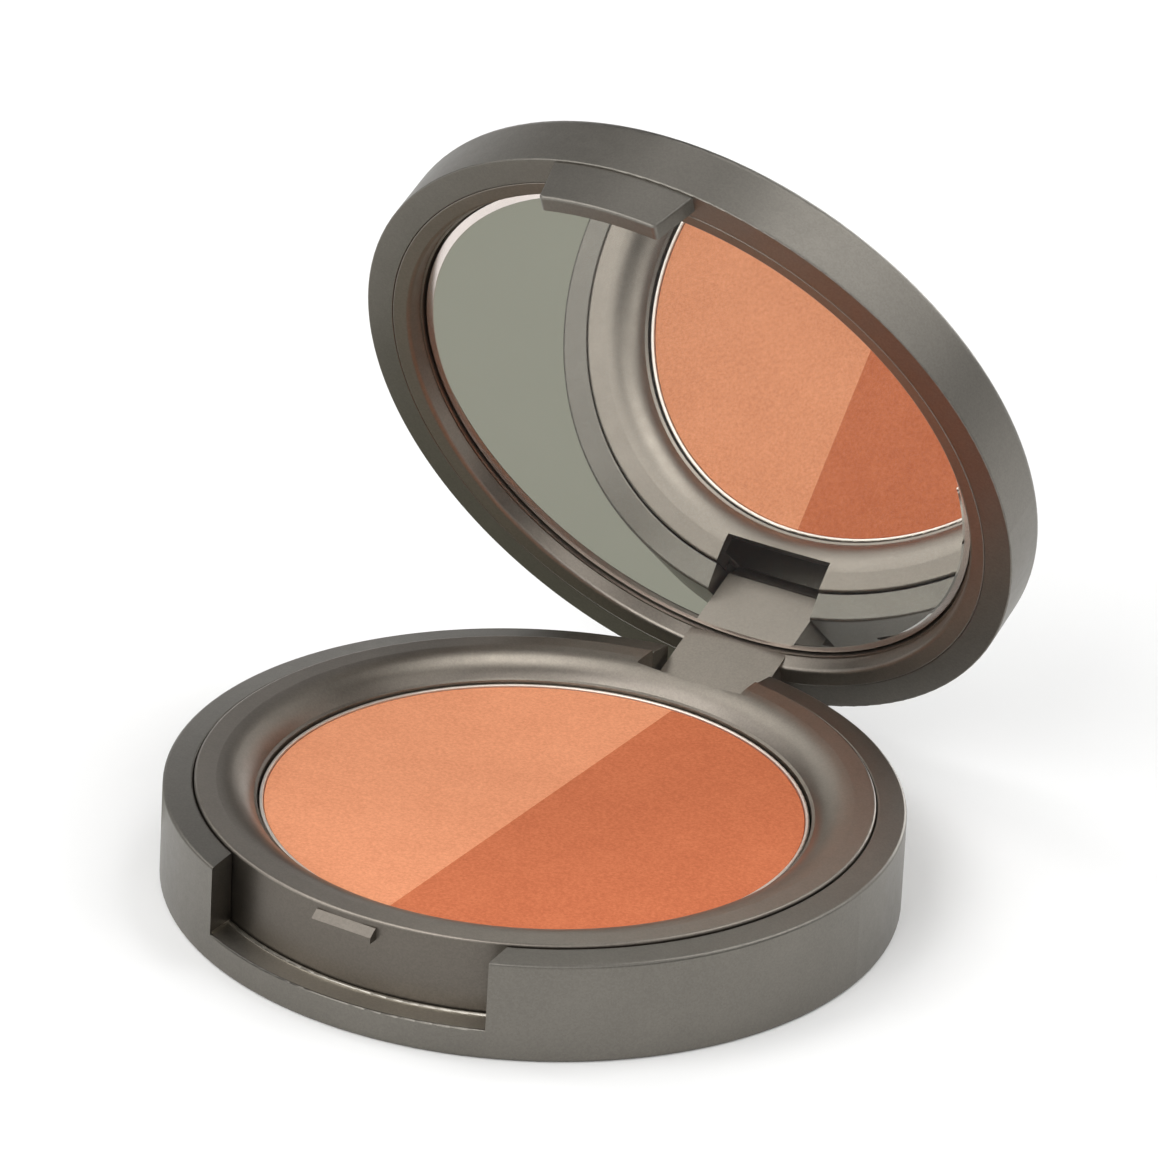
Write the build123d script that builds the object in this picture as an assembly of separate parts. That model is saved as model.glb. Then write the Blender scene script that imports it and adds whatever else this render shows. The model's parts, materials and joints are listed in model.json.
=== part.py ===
"""Round powder compact with a hinged mirror lid: one STEP per piece, millimetres, +Z up.

The origin is the centre of the flat underside. The hinge is at +Y and the latch at -Y. Lid pieces
are drawn shut, then swung about the hinge pin to the angle at which the lid is left standing.
"""

import os

from build123d import *

# Overall size and how far the lid stands open
BODY_R = 36.0
FOOT_R = 36.15
BASE_H = 10.0
LID_R = 36.1
LID_H = 6.25
LID_CROWN = 0.7
OPEN_ANGLE = 65.24

# Base shell: a thick wall whose rim climbs inward to the seam, where the tray stands a little proud
FLOOR_T = 1.65
SEAM_R = 33.1
RIM_RISE = 0.29
TRAY_PROUD = 0.28
SEAM_GAP = 0.1
FOOT_ROUND = 0.4
RIM_ROUND = 0.3
SEAM_ROUND = 0.2

# Front thumb recess and its ledge, and the slot at the back that the knuckle turns in
RECESS_HALF_W = 15.3
LEDGE_Z = 3.0
LEDGE_BEAD_W, LEDGE_BEAD_H = 0.4, 0.2
SLOT_HALF_W = 6.05
SLOT_FRONT_Y = 29.25

# Hinge
PIN_Y = 33.584
PIN_Z = 4.713
PIN_D = 1.2
PIN_FIT = 0.05
PIN_LEFT_X, PIN_RIGHT_X = -9.8, 11.0
BOSS_END_X = 10.2
BOSS_FRONT_Y = 31.5
BOSS_TOP_Z = 7.6
KNUCKLE_R = 2.55
KNUCKLE_FRONT_Y = 30.58
KNUCKLE_HALF_W = 5.65

# Tray that holds the pan, and the catch on its front wall
TRAY_R = SEAM_R - SEAM_GAP
TRAY_WALL = 1.45
TRAY_FLOOR_Z = 4.6
TRAY_FLOOR_T = 1.0
HOLE_R = 26.9
HOLE_Z = 8.4
LIP_W, LIP_H = 0.3, 0.12
CATCH_HALF_W = 3.25
CATCH_OUT = 0.85
CATCH_TOP_Z = 9.8
CATCH_H, CATCH_SLOPE_H = 1.25, 0.65

# Pan and powder
PAN_R = 26.7
PAN_T = 0.4
PAN_Z = TRAY_FLOOR_Z + 0.2
PAN_TOP_Z = 8.12
POWDER_TOP_Z = 7.92
PAN_GLUE_R = 20.0

# Lid: heights up from the lid's rim, which stops this far above the base's outer edge when shut
LID_GAP = 0.7
LID_Z = BASE_H + LID_GAP
LID_SEAM_R = 33.2
LID_CEILING = 4.9
LID_TOP_ROUND = 0.9
LID_EDGE_ROUND = 0.12
LID_SEAM_GAP = 0.05
LID_SEAM_ROUND = 0.08

# Latch tab
TAB_R = 35.85
TAB_T = 1.65
TAB_DROP = 5.0
TAB_ROOT_HALF_W, TAB_TIP_HALF_W = 7.55, 6.3
TAB_BEAD = 0.12

# Mirror frame and mirror
FRAME_RIM_IN_R = 31.45
FRAME_RIM_DIP = 0.3
FRAME_LIP_R = 31.05
FRAME_LIP_UP = 1.83
FRAME_FLOOR_T = 1.2
MIRROR_R = 30.54
MIRROR_UP = 2.13
MIRROR_T = 1.2
MIRROR_BEVEL_W, MIRROR_BEVEL_DROP = 0.8, 0.12
MIRROR_GAP = 0.3
MIRROR_GLUE_R = 29.0
MIRROR_GLUE_T = LID_CEILING - FRAME_FLOOR_T - MIRROR_UP - MIRROR_T


def turned(*edges):
    """Solid of revolution about Z from a closed outline of edges in (radius, height)."""
    return revolve(Plane.XZ * make_face(edges), Axis.Z)


def outline(*points):
    return Polyline(*points)


def block(x, y, z):
    """Box from its (low, high) extents along each axis."""
    middle = [(low + high) / 2 for low, high in (x, y, z)]
    return Pos(*middle) * Box(*[high - low for low, high in (x, y, z)])


def disc(radius, low, high):
    return Pos(0, 0, (low + high) / 2) * Cylinder(radius, high - low)


def ring_edges(part, radius, height):
    """Full circles of this radius at this height."""
    circles = part.edges().filter_by(GeomType.CIRCLE)
    return circles.filter_by(lambda e: abs(e.radius - radius) < 0.01 and abs(e.center().Z - height) < 0.01)


def rounded_rings(part, *rings):
    """Rounds the circular edges given as (radius, height, rounding)."""
    for radius, height, rounding in rings:
        part = fillet(ring_edges(part, radius, height), rounding)
    return part


def pin_hole(diameter, low_x, high_x):
    across = Pos((low_x + high_x) / 2, PIN_Y, PIN_Z) * Rot(0, 90, 0)
    return across * Cylinder(diameter / 2, high_x - low_x)


def opened(part):
    """Swings a lid piece from shut to the angle at which the lid stands."""
    return part.rotate(Axis((0, PIN_Y, PIN_Z), (1, 0, 0)), -OPEN_ANGLE)


def base_shell():
    seam_z = BASE_H + RIM_RISE
    cup = turned(
        outline((0, 0), (FOOT_R, 0), (BODY_R, BASE_H), (SEAM_R, seam_z), (SEAM_R, FLOOR_T), (0, FLOOR_T), (0, 0))
    )
    cup = rounded_rings(
        cup, (FOOT_R, 0, FOOT_ROUND), (BODY_R, BASE_H, RIM_ROUND), (SEAM_R, seam_z, SEAM_ROUND)
    )
    cup += hinge_bosses()
    cup -= block((-RECESS_HALF_W, RECESS_HALF_W), (-BODY_R - 1, -20), (LEDGE_Z, 2 * BASE_H))
    cup = fillet(ring_edges(cup, wall_r(LEDGE_Z), LEDGE_Z), 0.15)
    cup += ledge_bead()
    cup -= block((-SLOT_HALF_W, SLOT_HALF_W), (SLOT_FRONT_Y, BODY_R + 1), (FLOOR_T, 2 * BASE_H))
    return cup - pin_hole(PIN_D, PIN_LEFT_X, BODY_R)


def wall_r(height):
    """Radius of the base's slightly tapered outer wall."""
    return FOOT_R + (BODY_R - FOOT_R) * height / BASE_H


def ledge_bead():
    """Low bead along the inner edge of the thumb recess's ledge."""
    top_z = LEDGE_Z + LEDGE_BEAD_H
    out_r = SEAM_R + LEDGE_BEAD_W
    ring = disc(out_r, FLOOR_T, top_z) - disc(SEAM_R, FLOOR_T, top_z)
    ring = rounded_rings(ring, (SEAM_R, top_z, 0.12), (out_r, top_z, 0.15))
    return ring & block((-RECESS_HALF_W - 0.5, RECESS_HALF_W + 0.5), (-BODY_R, 0), (FLOOR_T, top_z))


def hinge_bosses():
    """Extra thickness inside the wall on both sides of the slot, for the pin to press into."""
    across = block((-BOSS_END_X, BOSS_END_X), (BOSS_FRONT_Y, BODY_R), (FLOOR_T, BOSS_TOP_Z))
    return across & disc(SEAM_R + 0.5, 0, BASE_H)


def base_tray():
    top_z = BASE_H + RIM_RISE + TRAY_PROUD
    skirt_r = TRAY_R - TRAY_WALL
    well_r = HOLE_R + 1.2
    crown = (30.9, top_z - 0.04)
    lip = (HOLE_R + LIP_W, HOLE_Z + LIP_H)
    cove = Spline(crown, (29.35, 10.2), lip, tangents=[(-1, -0.03), (-0.65, -1)])
    tray = turned(
        outline((TRAY_R, FLOOR_T), (TRAY_R, top_z), crown),
        cove,
        outline(
            lip,
            (HOLE_R, HOLE_Z),
            (HOLE_R, TRAY_FLOOR_Z),
            (0, TRAY_FLOOR_Z),
            (0, TRAY_FLOOR_Z - TRAY_FLOOR_T),
            (well_r, TRAY_FLOOR_Z - TRAY_FLOOR_T),
            (well_r, 7.1),
            (29.9, 9.1),
            (skirt_r, 9.3),
            (skirt_r, FLOOR_T),
            (TRAY_R, FLOOR_T),
        ),
    )
    tray = rounded_rings(tray, (TRAY_R, top_z, 0.25))
    tray += catch()
    tray -= block((-SLOT_HALF_W, SLOT_HALF_W), (SLOT_FRONT_Y, BODY_R), (0, 2 * BASE_H))
    boss_room = block(
        (-BOSS_END_X - 0.3, BOSS_END_X + 0.3), (BOSS_FRONT_Y - 0.3, BODY_R), (0, BOSS_TOP_Z + 0.3)
    )
    return tray - boss_room


def catch():
    """Wedge that the lid's latch tab passes on its way down."""
    wall_y = -TRAY_R
    side = make_face(
        Polyline(
            (wall_y + 1, CATCH_TOP_Z),
            (wall_y, CATCH_TOP_Z),
            (wall_y - CATCH_OUT, CATCH_TOP_Z - CATCH_SLOPE_H),
            (wall_y - CATCH_OUT, CATCH_TOP_Z - CATCH_H),
            (wall_y + 1, CATCH_TOP_Z - CATCH_H),
            close=True,
        )
    )
    return extrude(Plane.YZ * side, CATCH_HALF_W, both=True)


def powder_pan():
    cup = disc(PAN_R, PAN_Z, PAN_TOP_Z) - disc(PAN_R - PAN_T, PAN_Z + PAN_T, PAN_TOP_Z)
    return rounded_rings(
        cup, (PAN_R, PAN_Z, 0.8), (PAN_R, PAN_TOP_Z, 0.15), (PAN_R - PAN_T, PAN_TOP_Z, 0.15)
    )


def powder_half(side):
    """Half of the pressed cake; side is -1 for the pale left half and 1 for the dark right half."""
    cake = disc(PAN_R - PAN_T - 0.05, PAN_Z + PAN_T, POWDER_TOP_Z)
    cake = rounded_rings(cake, (PAN_R - PAN_T - 0.05, POWDER_TOP_Z, 0.1))
    return cake & block(sorted((0, side * BODY_R)), (-BODY_R, BODY_R), (0, BASE_H))


def pan_adhesive():
    return disc(PAN_GLUE_R, TRAY_FLOOR_Z, PAN_Z)


def hinge_pin():
    pin = pin_hole(PIN_D, PIN_LEFT_X, PIN_RIGHT_X)
    return chamfer(pin.edges().filter_by(GeomType.CIRCLE), 0.15)


def lid_shell():
    top, ceiling = LID_Z + LID_H, LID_Z + LID_CEILING
    crown = ThreePointArc((0, top + LID_CROWN), (LID_R / 2, top + 0.75 * LID_CROWN), (LID_R, top))
    shell = turned(
        crown,
        outline(
            (LID_R, top),
            (LID_R, LID_Z),
            (LID_SEAM_R, LID_Z),
            (LID_SEAM_R, ceiling),
            (0, ceiling),
            (0, top + LID_CROWN),
        ),
    )
    shell = rounded_rings(
        shell,
        (LID_R, top, LID_TOP_ROUND),
        (LID_R, LID_Z, LID_EDGE_ROUND),
        (LID_SEAM_R, LID_Z, LID_SEAM_ROUND),
    )
    return opened(shell + latch_tab())


def latch_tab():
    """Curved tab that hangs from the front of the lid's rim, with a bead that sits under the catch."""
    tip_z, root_z = LID_Z - TAB_DROP, LID_Z + 1.0
    front = make_face(
        Polyline(
            (-TAB_ROOT_HALF_W, root_z),
            (-TAB_ROOT_HALF_W, LID_Z),
            (-TAB_TIP_HALF_W, tip_z),
            (TAB_TIP_HALF_W, tip_z),
            (TAB_ROOT_HALF_W, LID_Z),
            (TAB_ROOT_HALF_W, root_z),
            close=True,
        )
    )
    front = fillet(front.vertices().sort_by(Axis.Y)[:2], 0.5)
    prism = extrude(Plane.XZ * front, BODY_R + 1)
    tab = prism & (disc(TAB_R, tip_z, root_z) - disc(TAB_R - TAB_T, tip_z, root_z))
    outer_rims = tab.edges().filter_by(lambda e: e.center().Y < -TAB_R + 1.2 and e.center().Z < LID_Z - 0.5)
    outer_rims = outer_rims.filter_by(lambda e: on_outer_face(e, TAB_R))
    tab = fillet(outer_rims, 0.25)
    bead_z = CATCH_TOP_Z - CATCH_H - 0.15
    bead = disc(TAB_R - TAB_T + 0.1, bead_z - 0.8, bead_z) - disc(TAB_R - TAB_T - TAB_BEAD, bead_z - 0.8, bead_z)
    return tab + (bead & block((-4, 4), (-BODY_R, 0), (0, LID_Z)))


def on_outer_face(edge, radius):
    """True where the whole edge lies on the cylinder of this radius about Z."""
    return all(abs((edge @ t).X ** 2 + (edge @ t).Y ** 2 - radius**2) < 0.05 for t in (0, 0.5, 1))


def mirror_frame():
    rim_z, lip_z = LID_Z + FRAME_RIM_DIP, LID_Z + FRAME_LIP_UP
    floor_z = LID_Z + LID_CEILING - FRAME_FLOOR_T
    outer_r = LID_SEAM_R - LID_SEAM_GAP
    pocket_r = MIRROR_R + MIRROR_GAP
    frame = turned(
        outline(
            (0, floor_z),
            (pocket_r, floor_z),
            (pocket_r, lip_z),
            (FRAME_LIP_R, lip_z),
            (FRAME_RIM_IN_R, rim_z),
            (outer_r, LID_Z),
            (outer_r, LID_Z + LID_CEILING),
            (0, LID_Z + LID_CEILING),
            (0, floor_z),
        )
    )
    frame = rounded_rings(frame, (FRAME_RIM_IN_R, rim_z, 0.5), (outer_r, LID_Z, LID_SEAM_ROUND))
    frame += knuckle()
    return opened(frame - pin_hole(PIN_D + 2 * PIN_FIT, -BODY_R, BODY_R))


def knuckle():
    """Hinge block: hangs from the back of the frame and is rounded about the pin."""
    back_y = PIN_Y + KNUCKLE_R
    width = (-KNUCKLE_HALF_W, KNUCKLE_HALF_W)
    round_end = pin_hole(2 * KNUCKLE_R, *width)
    leg = block(width, (KNUCKLE_FRONT_Y, back_y), (PIN_Z, LID_Z - 0.05))
    leg = fillet(leg.edges().filter_by(Axis.X).sort_by(lambda e: e.center().Y + e.center().Z)[0], 0.4)
    root = block(width, (KNUCKLE_FRONT_Y, BODY_R), (LID_Z - 0.05, LID_Z + FRAME_LIP_UP))
    body = round_end + leg + (root & disc(LID_SEAM_R - LID_SEAM_GAP, 0, 2 * BASE_H))
    return body & disc(BODY_R - 0.1, 0, 2 * BASE_H)


def mirror():
    face_z, back_z = LID_Z + MIRROR_UP, LID_Z + MIRROR_UP + MIRROR_T
    glass = turned(
        outline(
            (0, face_z),
            (MIRROR_R - MIRROR_BEVEL_W, face_z),
            (MIRROR_R, face_z + MIRROR_BEVEL_DROP),
            (MIRROR_R, back_z),
            (0, back_z),
            (0, face_z),
        )
    )
    return opened(glass)


def mirror_adhesive():
    back_z = LID_Z + MIRROR_UP + MIRROR_T
    return opened(disc(MIRROR_GLUE_R, back_z, back_z + MIRROR_GLUE_T))


PIECES = {
    "base_shell": base_shell,
    "base_tray": base_tray,
    "powder_pan": powder_pan,
    "powder_light": lambda: powder_half(-1),
    "powder_dark": lambda: powder_half(1),
    "pan_adhesive": pan_adhesive,
    "hinge_pin": hinge_pin,
    "lid_shell": lid_shell,
    "mirror_frame": mirror_frame,
    "mirror": mirror,
    "mirror_adhesive": mirror_adhesive,
}

os.makedirs("parts", exist_ok=True)
for name, make in PIECES.items():
    export_step(make(), f"parts/{name}.step")
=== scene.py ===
"""Looks, lights and camera for a round powder compact standing open on a pale floor."""

import json
import math

import bpy
from mathutils import Matrix, Vector

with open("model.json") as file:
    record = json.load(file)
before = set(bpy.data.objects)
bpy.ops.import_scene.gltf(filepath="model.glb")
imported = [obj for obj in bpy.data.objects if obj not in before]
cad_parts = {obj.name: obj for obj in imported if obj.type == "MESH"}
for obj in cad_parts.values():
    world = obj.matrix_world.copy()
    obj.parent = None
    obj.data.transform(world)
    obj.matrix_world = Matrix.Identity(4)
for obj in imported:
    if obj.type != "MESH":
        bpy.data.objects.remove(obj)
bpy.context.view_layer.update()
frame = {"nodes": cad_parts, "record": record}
nodes = frame["nodes"]

MM = 0.001


# ---------------------------------------------------------------- node helpers
class Shader:
    """A new node material with short calls for adding and joining nodes."""

    def __init__(self, name, **values):
        self.material = bpy.data.materials.new(name)
        self.material.use_nodes = True
        self.tree = self.material.node_tree
        self.shader = self.tree.nodes["Principled BSDF"]
        self.set(**values)
        self.where = self.add("ShaderNodeTexCoord").outputs["Object"]

    def add(self, kind, **settings):
        node = self.tree.nodes.new(kind)
        for key, value in settings.items():
            setattr(node, key, value)
        return node

    def put(self, socket, value):
        if isinstance(value, bpy.types.NodeSocket):
            self.tree.links.new(value, socket)
        else:
            socket.default_value = value

    def noise(self, size, detail=3.0, roughness=0.55):
        """Noise whose blobs are about this many millimetres across."""
        node = self.add("ShaderNodeTexNoise")
        self.put(node.inputs["Vector"], self.where)
        node.inputs["Scale"].default_value = 1 / (size * MM)
        node.inputs["Detail"].default_value = detail
        node.inputs["Roughness"].default_value = roughness
        return node.outputs["Fac"]

    def cells(self, size):
        """Random value in each cell, with cells about this many millimetres across."""
        node = self.add("ShaderNodeTexVoronoi")
        self.put(node.inputs["Vector"], self.where)
        node.inputs["Scale"].default_value = 1 / (size * MM)
        split = self.add("ShaderNodeSeparateColor")
        self.put(split.inputs["Color"], node.outputs["Color"])
        return split.outputs["Red"]

    def spread(self, value, low, high, from_low=0.3, from_high=0.7):
        """Stretches a value's range to low and high; noise mostly lies between 0.3 and 0.7."""
        node = self.add("ShaderNodeMapRange")
        node.inputs["From Min"].default_value = from_low
        node.inputs["From Max"].default_value = from_high
        node.inputs["To Min"].default_value = low
        node.inputs["To Max"].default_value = high
        self.put(node.inputs["Value"], value)
        return node.outputs["Result"]

    def math(self, operation, a, b):
        node = self.add("ShaderNodeMath", operation=operation)
        self.put(node.inputs[0], a)
        self.put(node.inputs[1], b)
        return node.outputs["Value"]

    def mix(self, share, a, b):
        node = self.add("ShaderNodeMix", data_type="RGBA")
        self.put(node.inputs["Factor"], share)
        self.put(node.inputs["A"], a)
        self.put(node.inputs["B"], b)
        return node.outputs["Result"]

    def ramp(self, value, *stops):
        """Colour ramp from (position, colour) stops."""
        node = self.add("ShaderNodeValToRGB")
        elements = node.color_ramp.elements
        while len(elements) < len(stops):
            elements.new(0.5)
        for element, (position, colour) in zip(elements, stops):
            element.position = position
            element.color = colour
        self.put(node.inputs["Fac"], value)
        return node.outputs["Color"]

    def bump(self, height, depth, strength, normal=None):
        """Relief of this many millimetres between height 0 and 1."""
        node = self.add("ShaderNodeBump")
        node.inputs["Strength"].default_value = strength
        node.inputs["Distance"].default_value = depth * MM
        self.put(node.inputs["Height"], height)
        if normal is not None:
            self.put(node.inputs["Normal"], normal)
        return node.outputs["Normal"]

    def set(self, **sockets):
        """Sets the shader's own sockets, named with _ for each space, and returns the material."""
        for key, value in sockets.items():
            self.put(self.shader.inputs[key.replace("_", " ")], value)
        return self.material


def rgb(red, green, blue):
    return (red, green, blue, 1.0)


# ------------------------------------------------------------------- materials
def painted_shading_mask(m, radii, heights):
    """1 on the front half of the case between these radii and heights in millimetres, and 0 elsewhere; it
    marks where the lacquer carries painted light and painted shade.
    """
    axes = m.add("ShaderNodeSeparateXYZ")
    m.put(axes.inputs["Vector"], m.where)
    x, y, z = (axes.outputs[axis] for axis in "XYZ")
    radius = m.math("POWER", m.math("ADD", m.math("MULTIPLY", x, x), m.math("MULTIPLY", y, y)), 0.5)
    inside = m.math("LESS_THAN", y, 0.0)
    for value, (low, high) in ((radius, radii), (z, heights)):
        inside = m.math("MULTIPLY", inside, m.math("GREATER_THAN", value, low * MM))
        inside = m.math("MULTIPLY", inside, m.math("LESS_THAN", value, high * MM))
    return inside


LACQUER_ROUGHNESS = 0.375, 0.425
CLOUD_SHARE = 0.35

# Parts of the front whose tint is scaled as painted light and painted shade: (low, high) radii and heights
# in millimetres
# The ledge is made brighter: painted light.
LEDGE_PAINTED_LIGHT_ZONE = (33.0, 35.85), (2.8, 3.25)
# The recess wall is made darker: painted shade.
RECESS_WALL_PAINTED_SHADE_ZONE = (32.7, 36.0), (0.0, 10.3)


def lacquer(name, tint, zone, painted_shading_gain):
    """Satin metallic lacquer with fine flakes; in one zone its tint is scaled by a factor, as painted light
    where the factor is above 1 and painted shade where it is below 1.
    """
    m = Shader(name, Metallic=1.0)
    cloud = m.noise(9.0, 2.0)
    flake = m.cells(0.16)
    flakes = m.spread(flake, 0.0, 1 - CLOUD_SHARE, 0.0, 1.0)
    shade = m.math("ADD", m.spread(cloud, 0.0, CLOUD_SHARE), flakes)
    dark, light, painted_shading_dark, painted_shading_light = (
        rgb(*(share * c for c in tint)) for share in (0.9, 1.1, 0.9 * painted_shading_gain, 1.1 * painted_shading_gain)
    )
    # Inside the zone the tint carries painted light and painted shade.
    painted_shading_colour = m.mix(shade, painted_shading_dark, painted_shading_light)
    grain = m.noise(0.22, 2.0)
    return m.set(
        Base_Color=m.mix(painted_shading_mask(m, *zone), m.mix(shade, dark, light), painted_shading_colour),
        Roughness=m.spread(m.noise(1.2, 4.0), *LACQUER_ROUGHNESS),
        Normal=m.bump(grain, 0.002, 0.5),
    )


def pressed_powder(name, dark, middle, light):
    """Pressed powder: matt grains with pale and dark specks and a faint unevenness."""
    m = Shader(name, Roughness=0.92, Specular_IOR_Level=0.15)
    cloud = m.noise(7.0, 2.0)
    grains = m.noise(0.3, 3.0, 0.7)
    both = m.math("ADD", m.math("MULTIPLY", cloud, 0.2), m.math("MULTIPLY", grains, 0.8))
    colour = m.ramp(both, (0.34, rgb(*dark)), (0.5, rgb(*middle)), (0.66, rgb(*light)))
    return m.set(
        Base_Color=colour,
        Normal=m.bump(grains, 0.03, 0.5, m.bump(m.noise(1.6, 2.0), 0.02, 0.3)),
    )


def bright_metal(name, tint, roughness):
    m = Shader(name, Metallic=1.0)
    scratches = m.noise(0.15, 3.0)
    return m.set(
        Base_Color=m.mix(m.spread(scratches, 0.0, 1.0), rgb(*(0.9 * c for c in tint)), rgb(*tint)),
        Roughness=m.spread(m.noise(0.6, 2.0), roughness - 0.05, roughness + 0.05),
        Normal=m.bump(scratches, 0.003, 0.4),
    )


# Radii in millimetres between which the mirror goes from clear to ground, and to the pink of a painted
# reflection of the powder
BEVEL_EDGE = 29.75, 29.85
BEVEL_ROUGHNESS = 0.22


def shut_to_rest():
    """How far the lid stands open at rest: the hinge's lower limit is the shut lid."""
    hinge = frame["record"]["behaviour"]["joints"][0]
    return math.radians(-hinge["range_deg"][0])


def silvered_glass(glass):
    """Clear silvering with a faint haze, and a finely ground bevelled rim whose pink tint is a painted
    reflection of the powder.
    """
    m = Shader("mirror_glass", Metallic=0.975)
    haze = m.noise(14.0, 3.0)
    corners = [Vector(v.co) for v in glass.data.vertices]
    middle = sum(corners, Vector()) / len(corners)
    tilt = shut_to_rest()
    facing = (0, math.sin(tilt), math.cos(tilt))
    arm = m.add("ShaderNodeVectorMath", operation="SUBTRACT")
    m.put(arm.inputs[0], m.where)
    m.put(arm.inputs[1], middle)
    cross = m.add("ShaderNodeVectorMath", operation="CROSS_PRODUCT")
    m.put(cross.inputs[0], arm.outputs["Vector"])
    m.put(cross.inputs[1], facing)
    radius = m.add("ShaderNodeVectorMath", operation="LENGTH")
    m.put(radius.inputs[0], cross.outputs["Vector"])
    ground_edge_and_painted_reflection = m.spread(radius.outputs["Value"], 0.0, 1.0, *(edge * MM for edge in BEVEL_EDGE))
    clear = m.mix(haze, rgb(0.86, 0.87, 0.85), rgb(0.9, 0.91, 0.89))
    rough = m.math("ADD", m.spread(haze, 0.004, 0.02), m.math("MULTIPLY", ground_edge_and_painted_reflection, BEVEL_ROUGHNESS))
    # On the ground edge the pink tint is a painted reflection of the powder.
    return m.set(Base_Color=m.mix(ground_edge_and_painted_reflection, clear, rgb(0.86, 0.78, 0.74)), Roughness=rough)


def foam_tape():
    m = Shader("adhesive", Roughness=0.8)
    cells = m.noise(0.3, 3.0)
    return m.set(
        Base_Color=m.mix(cells, rgb(0.7, 0.69, 0.64), rgb(0.86, 0.85, 0.8)),
        Normal=m.bump(cells, 0.03, 0.5),
    )


FINISHES = {
    # The ledge's tint at 2.2 times as bright is painted light.
    "casing": lacquer("casing", (0.186, 0.174, 0.153), LEDGE_PAINTED_LIGHT_ZONE, 2.2),
    # The recess wall's tint at 0.64 times as bright is painted shade.
    "casing_inner": lacquer("casing_inner", (0.232, 0.207, 0.178), RECESS_WALL_PAINTED_SHADE_ZONE, 0.64),
    "pan_metal": bright_metal("pan_metal", (0.82, 0.75, 0.68), 0.48),
    "powder_light": pressed_powder(
        "powder_light", (0.655, 0.25, 0.127), (0.735, 0.295, 0.152), (0.815, 0.34, 0.182)
    ),
    "powder_dark": pressed_powder(
        "powder_dark", (0.465, 0.126, 0.054), (0.54, 0.153, 0.066), (0.61, 0.186, 0.083)
    ),
    "adhesive": foam_tape(),
    "pin_steel": bright_metal("pin_steel", (0.62, 0.62, 0.62), 0.28),
    "mirror_glass": silvered_glass(nodes["mirror"]),
}

for subpart in frame["record"]["subparts"]:
    mesh = nodes[subpart["node"]].data
    mesh.materials.clear()
    mesh.materials.append(FINISHES[subpart["material_slot"]])


# ---------------------------------------------------------------------- stage
# Extents in metres; the card covers the patch of floor that the mirror's left part shows and puts a painted
# reflection of shade there
FLOOR = (-3.0, 3.0)
CARD_X = (-66 * MM, -1 * MM)
CARD_Y = (-14 * MM, 46 * MM)
CARD_UP = 0.05 * MM


def flat_sheet(name, x, y, up, material):
    """Level sheet over these (low, high) extents in metres, part of the stage."""
    (low_x, high_x), (low_y, high_y) = x, y
    corners = [(low_x, low_y, up), (high_x, low_y, up), (high_x, high_y, up), (low_x, high_y, up)]
    mesh = bpy.data.meshes.new(name)
    mesh.from_pydata(corners, [], [(0, 1, 2, 3)])
    mesh.materials.append(material)
    made = bpy.data.objects.new(name, mesh)
    bpy.context.scene.collection.objects.link(made)
    return made


def floor_paper():
    m = Shader("floor_paper", Roughness=0.9, Specular_IOR_Level=0.1)
    fibre = m.noise(40.0, 2.0)
    return m.set(Base_Color=m.mix(fibre, rgb(0.86, 0.86, 0.855), rgb(0.9, 0.9, 0.895)))


def painted_reflection_card():
    """Evenly glowing grey card beside the compact, seen only in the mirror and the polished edges: a painted
    reflection of the shaded floor there.
    """
    m = Shader(
        "painted_reflection_card", Base_Color=rgb(0, 0, 0), Roughness=1.0, Specular_IOR_Level=0.0, Emission_Strength=1.0
    )
    mottle = m.noise(30.0, 2.0)
    # The even grey glow is a painted reflection of shaded floor.
    m.set(Emission_Color=m.mix(mottle, rgb(0.305, 0.305, 0.25), rgb(0.315, 0.315, 0.26)))
    card = flat_sheet("painted_reflection_card", CARD_X, CARD_Y, CARD_UP, m.material)
    card.visible_camera = card.visible_diffuse = card.visible_shadow = card.visible_transmission = False


flat_sheet("floor", FLOOR, FLOOR, 0, floor_paper())
painted_reflection_card()


# --------------------------------------------------------------------- lights
SOFTBOX_SIZE = 0.5
COMPACT_MIDDLE = Vector((0, 0, 0.03))


def softbox(name, azimuth, elevation, power):
    """Square soft light 1 m away and aimed at the compact; azimuth 0 is the latch side, 90 the right."""
    light = bpy.data.lights.new(name, "AREA")
    light.shape = "SQUARE"
    light.size = SOFTBOX_SIZE
    light.energy = power
    holder = bpy.data.objects.new(name, light)
    bpy.context.scene.collection.objects.link(holder)
    a, e = math.radians(azimuth), math.radians(elevation)
    away = Vector((math.sin(a) * math.cos(e), -math.cos(a) * math.cos(e), math.sin(e)))
    holder.location = COMPACT_MIDDLE + away
    holder.rotation_mode = "QUATERNION"
    holder.rotation_quaternion = away.to_track_quat("Z", "Y")


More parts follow.
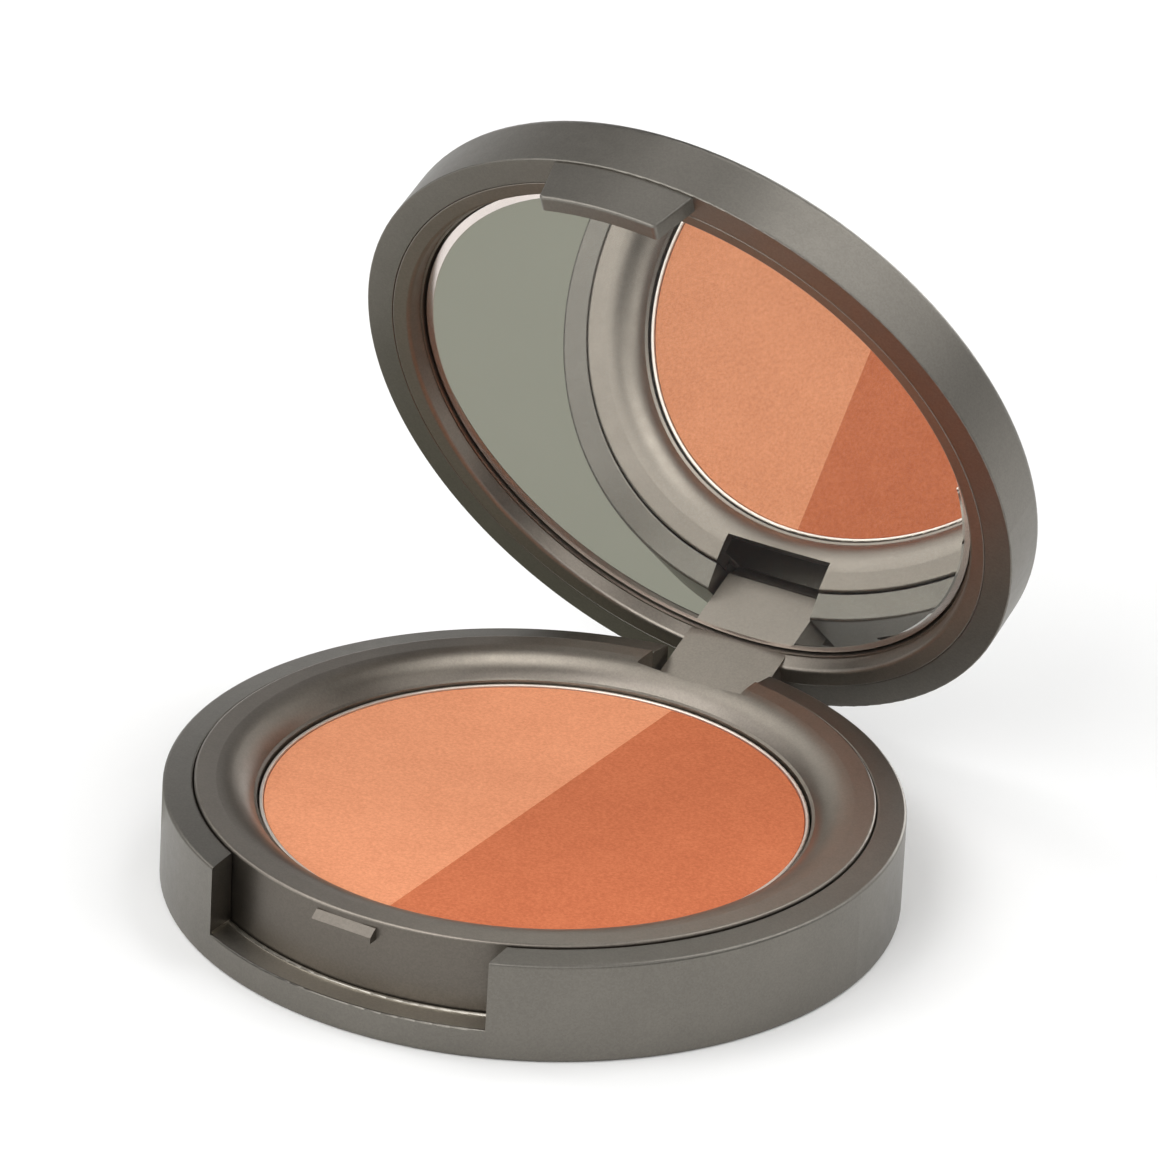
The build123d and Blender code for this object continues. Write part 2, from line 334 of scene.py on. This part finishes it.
# Azimuth and elevation in degrees, and power in watts
SOFTBOXES = {
    "front": (0, 35, 4.0),
    "front_right": (45, 35, 2.05),
    "right": (90, 35, 1.3),
    "back_right": (135, 35, 1.6),
    "left": (270, 35, 1.6),
    "front_left": (315, 35, 2.1),
    "high_back_right": (140, 60, 2.3),
    "high_back_left": (200, 60, 1.2),
    "high_left": (260, 60, 0.25),
    "high_left_front": (293, 60, 1.0),
    "high_front_left": (320, 60, 1.6),
    "low_back_right": (135, 12, 0.55),
    "low_back": (180, 12, 3.2),
    "low_back_left": (225, 12, 0.8),
    "low_front_left": (315, 12, 1.25),
}
for name, (azimuth, elevation, power) in SOFTBOXES.items():
    softbox(name, azimuth, elevation, power)

world = bpy.data.worlds.new("studio")
bpy.context.scene.world = world
world.use_nodes = True
background = world.node_tree.nodes["Background"]
background.inputs["Color"].default_value = rgb(1, 1, 1)
background.inputs["Strength"].default_value = 0.01

# --------------------------------------------------------------------- camera
# View direction and roll, the point aimed at, the distance to it, and lens length over sensor width
AZIMUTH, ELEVATION, ROLL = (math.radians(d) for d in (30.169, 24.674, 3.106))
AIM = Vector((-20.806, 42.060, 10.0)) * MM
DISTANCE = 556.342 * MM
LENS_PER_WIDTH = 4.524914

ahead = Vector(
    (-math.sin(AZIMUTH) * math.cos(ELEVATION), math.cos(AZIMUTH) * math.cos(ELEVATION), -math.sin(ELEVATION))
)
level = Vector((math.cos(AZIMUTH), math.sin(AZIMUTH), 0))
upright = level.cross(ahead)
across = level * math.cos(ROLL) + upright * math.sin(ROLL)
upward = upright * math.cos(ROLL) - level * math.sin(ROLL)

camera_data = bpy.data.cameras.new("camera")
camera_data.sensor_width = 36.0
camera_data.lens = LENS_PER_WIDTH * camera_data.sensor_width
camera_data.clip_start = 0.01
camera_data.clip_end = 20.0
camera = bpy.data.objects.new("camera", camera_data)
bpy.context.scene.collection.objects.link(camera)
turned = Matrix((across, upward, -ahead)).transposed().to_4x4()
camera.matrix_world = Matrix.Translation(AIM - ahead * DISTANCE) @ turned
bpy.context.scene.camera = camera
bpy.context.scene.view_settings.view_transform = "Standard"
